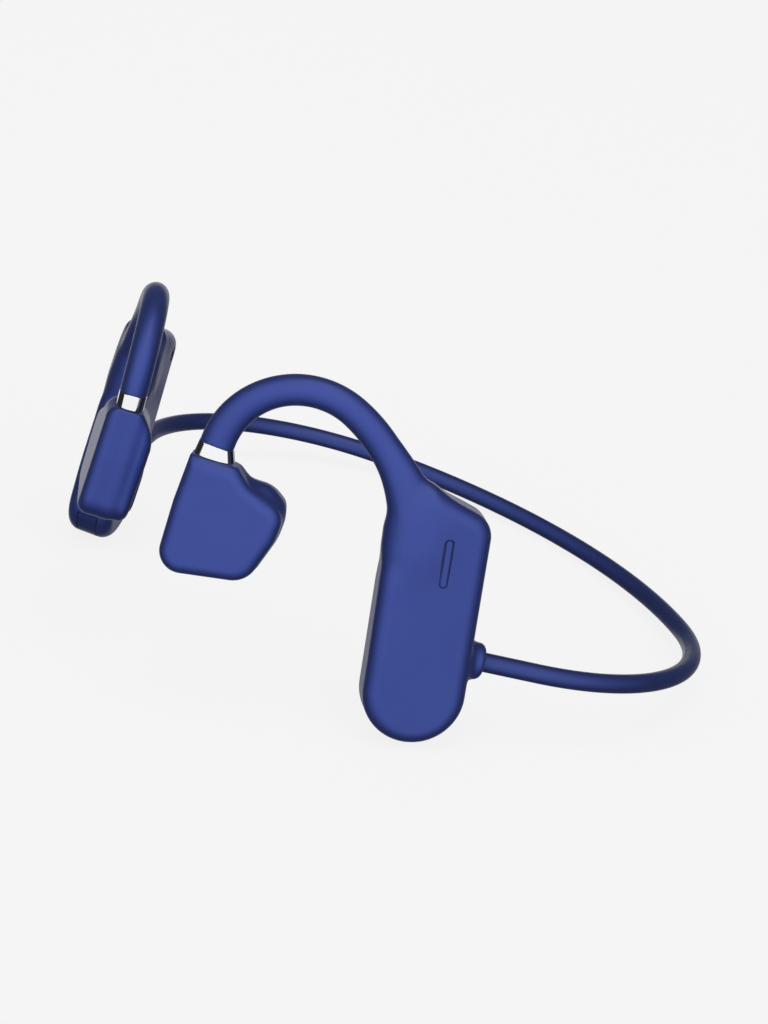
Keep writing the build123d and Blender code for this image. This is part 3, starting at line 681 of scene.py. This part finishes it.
def cut(piece, cutters, side):
    """Cuts pockets into one side's piece."""
    points, faces, base = [], [], 0
    for cutter in cutters:
        p, f = on_side(side, *cutter)
        points.append(p)
        faces += [tuple(base + i for i in q) for q in f]
        base += len(p)
    tool = mesh_piece("cutter", np.vstack(points), faces, blue)
    shape = bmesh.new()
    shape.from_mesh(tool.data)
    bmesh.ops.recalc_face_normals(shape, faces=shape.faces)
    shape.to_mesh(tool.data)
    shape.free()
    step = piece.modifiers.new("pockets", "BOOLEAN")
    step.operation, step.solver, step.object = "DIFFERENCE", "EXACT", tool
    bpy.context.view_layer.update()
    shown = piece.evaluated_get(bpy.context.evaluated_depsgraph_get())
    new_mesh = bpy.data.meshes.new_from_object(shown)
    piece.modifiers.clear()
    piece.data = new_mesh
    bpy.data.objects.remove(tool)
    piece.data.set_sharp_from_angle(angle=radians(SHARP_DEG))


def on_outer_face(x, y):
    """Place on the pod's middle plane, facing out."""
    return POD.within((x, y, 0), (1, 0, 0), (0, 0, 1))


def flap_well():
    """Cutter for the port flap: a flared section swept round the pod's foot."""
    rings = []
    for a in np.linspace(radians(FLAP_FROM - FLAP_GAP_DEG), radians(FLAP_TO + FLAP_GAP_DEG), 30):
        out = np.array([cos(a), sin(a)])
        section = [(*(r * out + (0, POD_ARC_Y)), h) for r, h in FLAP_SECTION]
        rings.append(POD.to_part(section + [(x, y, -h) for x, y, h in reversed(section)]))
    return rings_mesh(rings)


SHARP_DEG = 32
pod_in = POD.within((0, 0, 0), (-1, 0, 0), (0, 0, -1))
screw_wells = [
    round_well(pod_in.within((-x, y, 0), (1, 0, 0), (0, 0, 1)), [(4.15, 1.6), (5.13, 1.6), (5.4, 1.9)])
    for x, y in SCREWS
]
button_well = pill_well(
    on_outer_face(*BUTTON_AT), BUTTON_L + 2 * BUTTON_GAP, BUTTON_W + 2 * BUTTON_GAP,
    [(5.0, -0.1), (5.16, 0), (5.5, 0.68)],
)
key_wells = [
    pill_well(
        POD.within((POD_HALF_W, y, 0), (0, 0, 1), (1, 0, 0)), KEY_L + 2 * GAP, KEY_W + 2 * GAP,
        [(-0.35, 0), (-0.1, 0), (0.4, 0.8)],
    )
    for y in KEY_YS
]
small_wells = [
    round_well(on_outer_face(*at), [(4.2, radius), (5.15, radius), (5.4, radius + 0.2)])
    for at, radius in SMALL_HOLES
]
port_way = (cos(radians(PORT_DEG)), sin(radians(PORT_DEG)), 0)
port_place = POD.within((0, POD_ARC_Y, 0), (0, 0, 1), port_way)
port_well = pill_well(port_place, PORT_L, PORT_W, [(1.1, 0), (9.4, 0)])
right_wells = key_wells + small_wells + [flap_well(), port_well]

# ------------------------------------------------------------------ pod, boot and hook in one skin
CELL = 0.34
SIDE_BOX = (6, -66, -3), (66, -10, 75)
DRIVER_BOX = (2, -72, 20), (36, -40, 56)
boot_low = POD.to_part((-4.5, 15.5, 0))
boot_high = POD.to_part((-13.0, 28.5, -2.5))
both_sides(
    "pod_and_hook_skin", *surface(side_field, *SIDE_BOX, CELL), blue,
    blend=("{}_side", "{}_hook", boot_low, boot_high),
    nodes=("{}_pod_outer_shell", "{}_pod_inner_shell", "{}_band_collar", "{}_hook_boot", "{}_hook_sleeve"),
    slot="pod_shell", pockets={"left": screw_wells + [button_well], "right": screw_wells + right_wells},
)


# ------------------------------------------------------------------ driver pods
both_sides(
    "driver_skin", *surface(driver_field, *DRIVER_BOX, CELL * 0.8), blue, body="{}_hook",
    nodes=("{}_driver_outer_shell", "{}_driver_inner_shell"), slot="driver_shell",
)


# ------------------------------------------------------------------ chrome rings
def oval(half_x, half_y, power, count=96):
    """Points of a rounded oval, squarer as the power rises."""
    t = np.radians(np.linspace(0, 360, count, endpoint=False))
    c, s = np.cos(t), np.sin(t)
    x = half_x * np.sign(c) * np.abs(c) ** (2 / power)
    y = half_y * np.sign(s) * np.abs(s) ** (2 / power)
    return np.c_[x, y]


# (share of the ring's height, how far its edge is drawn in); close levels keep the rims crisp
RING_LEVELS = (
    (0.0, 0.12), (0.02, 0.03), (0.05, 0.0), (0.07, 0.0), (0.5, 0.0),
    (0.93, 0.0), (0.95, 0.0), (0.98, 0.03), (1.0, 0.12),
)
ring_rings = []
for share, shrink in RING_LEVELS:
    half_x = (1 - share) * RING_FOOT_HALF_W + share * RING_TOP_HALF_W - shrink
    half_y = RING_HALF_T - 0.02 * share - shrink
    flat = oval(half_x, half_y, RING_SQUARENESS)
    x = flat[:, 0] + 0.2 * (1 - share)
    rise = -RING_H * (1 - share) - share * np.tan(radians(RING_LEAN)) * x
    ring_rings.append(HOOK.to_part(np.c_[x, rise, flat[:, 1]]))
both_sides(
    "chrome_ring", *rings_mesh(ring_rings), chrome, body="{}_hook", nodes=("{}_trim_ring",),
    slot="chrome_trim",
)

# ------------------------------------------------------------------ ear pads
PAD_AT = np.array([3.2, -16.4])
# (how far the edge is drawn in, place across the driver pod), from the lobe to the pad's crown
PAD_LEVELS = (
    (0, -5.75), (0, -6.3), (0.12, -6.5), (0.35, -6.67),
    (0.8, -6.79), (1.5, -6.85), (2.6, -6.88), (4.4, -6.895),
)
pad_rings = []
for inset, n in PAD_LEVELS:
    h = PAD_W / 2 - inset
    corner = max(PAD_CORNER_R - 0.6 * inset, 0.55)
    square = rounded_outline([(-h, -h), (h, -h), (h, h), (-h, h)], [corner] * 4, 10)
    flat = square[::-1] + PAD_AT
    pad_rings.append(DRIVER.to_part(np.c_[flat, np.full(len(flat), n)]))
pads = both_sides(
    "ear_pad_cushion", *rings_mesh(pad_rings), pad_blue, body="{}_hook", nodes=("{}_ear_pad",),
    slot="pad_silicone",
)

# ------------------------------------------------------------------ finishes of the CAD pieces that stay
finishes = {
    "left_multi_function_button": blue, "left_button_board": board, "left_button_switch": switch_black,
    "left_battery": foil, "right_volume_up_key": blue, "right_volume_down_key": blue,
    "right_volume_switches": switch_black, "right_port_flap": pad_blue, "right_charging_port": steel_can,
    "right_main_board": board, "right_light_pipe": clear, "right_microphone": steel_can,
}
paired = {
    "pod_screws": dark_steel, "hook_core_wire": spring_wire, "hook_signal_cable": jacket,
    "transducer_yoke": nickel, "transducer_magnet": nickel, "voice_coil": copper, "diaphragm": film,
    "speaker_mesh": mesh_black,
}
for side in ("left", "right"):
    finishes.update({f"{side}_{name}": mat for name, mat in paired.items()})
for name, mat in finishes.items():
    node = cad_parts[name]
    node.data.materials.clear()
    node.data.materials.append(mat)

# ------------------------------------------------------------------ floor, light and camera
scene = bpy.context.scene
TABLE_GLOW, TABLE_BOUNCE = 0.845, 0.3
BACKDROP = 0.905
bpy.ops.mesh.primitive_plane_add(size=14, location=(0, 0, -0.0004))
floor = bpy.context.object
floor.name = "floor"
floor_mat, fn, fl, fs = material("light_table")
speckle = noise(fn, fl, 3.0)
table_grey = ramp(fn, fl, speckle.outputs["Fac"], (0.085, 0.085, 0.085), (0.095, 0.095, 0.095))
fl.new(table_grey, fs.inputs["Base Color"])
fs.inputs["Roughness"].default_value = 0.9
fs.inputs["Specular IOR Level"].default_value = 0.0
fs.inputs["Emission Color"].default_value = (1, 1, 1, 1)
seen = fn.new("ShaderNodeLightPath")
glow = value_range(fn, fl, seen.outputs["Is Camera Ray"], TABLE_BOUNCE, TABLE_GLOW)
fl.new(glow, fs.inputs["Emission Strength"])
floor.data.materials.append(floor_mat)
floor.visible_glossy = False


def camera_axis(row):
    """A camera axis, given in the base's frame."""
    return unit(np.asarray(row) @ BASE.m)


right = camera_axis((0.664, 0.6943, 0.2776))
down = camera_axis((0.3958, -0.0114, -0.9182))
ahead = camera_axis((-0.6344, 0.7196, -0.2824))
eye = BASE.to_part((397.95, -397.82, 184.33)) * MM
camera_data = bpy.data.cameras.new("camera")
camera = bpy.data.objects.new("camera", camera_data)
scene.collection.objects.link(camera)
camera_data.lens = 100.7
camera_data.sensor_width = 36
camera_data.clip_start, camera_data.clip_end = 0.05, 50
rows = [(right[k], -down[k], -ahead[k], eye[k]) for k in range(3)]
camera.matrix_world = Matrix((*rows, (0, 0, 0, 1)))
scene.camera = camera
camera_data.dof.use_dof = False


def area(name, place, aim, size, power):
    """Soft light, placed and aimed in metres."""
    data = bpy.data.lights.new(name, "AREA")
    data.shape, data.size, data.energy = "DISK", size, power
    lamp = bpy.data.objects.new(name, data)
    scene.collection.objects.link(lamp)
    lamp.location = place
    lamp.rotation_mode = "QUATERNION"
    lamp.rotation_quaternion = (Vector(aim) - Vector(place)).to_track_quat("-Z", "Y")


world = bpy.data.worlds.new("studio")
scene.world = world
world.use_nodes = True
wn, wl = world.node_tree.nodes, world.node_tree.links
wn.clear()
direction = wn.new("ShaderNodeTexCoord")


def facing_along(vector):
    """How far each direction points along a vector."""
    node = wn.new("ShaderNodeVectorMath")
    node.operation = "DOT_PRODUCT"
    node.inputs[1].default_value = tuple(vector)
    wl.new(direction.outputs["Generated"], node.inputs[0])
    return node.outputs["Value"]


place = value_range(wn, wl, facing_along(-ahead), 0.0, 1.0, -1.0, 1.0)


def sky(stops):
    """Brightness round the object, from straight behind it to the camera's side."""
    r = wn.new("ShaderNodeValToRGB")
    r.color_ramp.interpolation = "EASE"
    while len(r.color_ramp.elements) < len(stops):
        r.color_ramp.elements.new(0.5)
    for e, (at, level) in zip(r.color_ramp.elements, stops):
        e.position, e.color = at, (level, level, level * 1.01, 1)
    wl.new(place, r.inputs["Fac"])
    return r.outputs["Color"]


# the mirror sky is darker towards the picture's lower right, except on the camera's side
fade = value_range(wn, wl, facing_along(-2.5 * down - 1.0 * right), 0.4, 1.0, -0.2, 0.45)
front = wn.new("ShaderNodeMath")
front.operation = "GREATER_THAN"
front.inputs[1].default_value = 0.5
wl.new(place, front.inputs[0])
level = wn.new("ShaderNodeMath")
level.operation = "MAXIMUM"
wl.new(fade, level.inputs[0])
wl.new(front.outputs[0], level.inputs[1])
mirror_sky = sky(((0.0, 1.0), (0.04, 0.9), (0.10, 0.02), (0.70, 0.02), (0.78, 0.95), (1.0, 0.95)))
soft_sky = sky(((0.0, 0.55), (0.30, 0.3), (0.58, 0.16), (0.80, 1.05), (1.0, 1.17)))
path = wn.new("ShaderNodeLightPath")
pick = wn.new("ShaderNodeMix")
pick.data_type = "RGBA"
wl.new(path.outputs["Is Glossy Ray"], pick.inputs["Factor"])
wl.new(soft_sky, pick.inputs["A"])
wl.new(multiplied(wn, wl, mirror_sky, level.outputs[0]), pick.inputs["B"])
shown = wn.new("ShaderNodeMix")
shown.data_type = "RGBA"
wl.new(path.outputs["Is Camera Ray"], shown.inputs["Factor"])
wl.new(pick.outputs["Result"], shown.inputs["A"])
shown.inputs["B"].default_value = (BACKDROP, BACKDROP, BACKDROP, 1)
background = wn.new("ShaderNodeBackground")
wl.new(shown.outputs["Result"], background.inputs["Color"])
world_out = wn.new("ShaderNodeOutputWorld")
wl.new(background.outputs[0], world_out.inputs[0])

area("top", (0.1, 0.0, 0.9), (0, 0, 0.03), 0.5, 1.0)
scene.view_settings.view_transform = "Standard"
scene.view_settings.look = "None"
